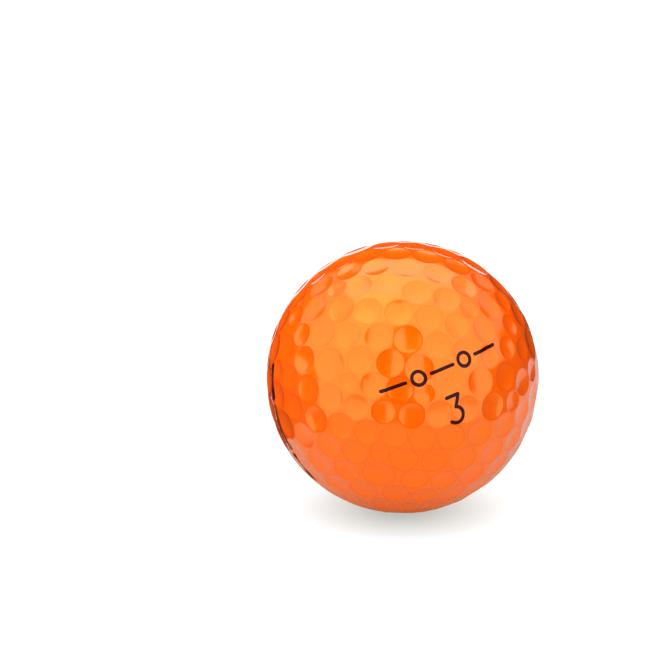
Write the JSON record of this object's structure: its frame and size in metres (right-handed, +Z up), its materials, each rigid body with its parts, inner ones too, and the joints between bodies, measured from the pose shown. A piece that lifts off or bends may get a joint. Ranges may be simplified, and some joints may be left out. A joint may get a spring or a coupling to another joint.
{
  "type": "golf ball",
  "caption": "Two-piece golf ball: a solid rubber core in a dimpled, glossy orange pearl cover, printed with a play number and plain alignment marks.",
  "frame": {"origin": "centre of the ball", "axes": "+Z up as the ball lies on a level surface, with the front print facing between -Y and +X"},
  "size_m": [0.0426, 0.0426, 0.0426],
  "materials": {
    "core_rubber": "matte",
    "cover_ionomer": "glossy pearl under a clear coat",
    "print_ink": "glossy under a clear coat"
  },
  "bodies": {
    "root": {"core": "core_rubber", "cover": "cover_ionomer", "play_number_front": "print_ink", "play_number_back": "print_ink", "pole_mark_front": "print_ink", "pole_mark_back": "print_ink", "side_mark_left": "print_ink", "side_mark_right": "print_ink"}
  },
  "joints": []
}
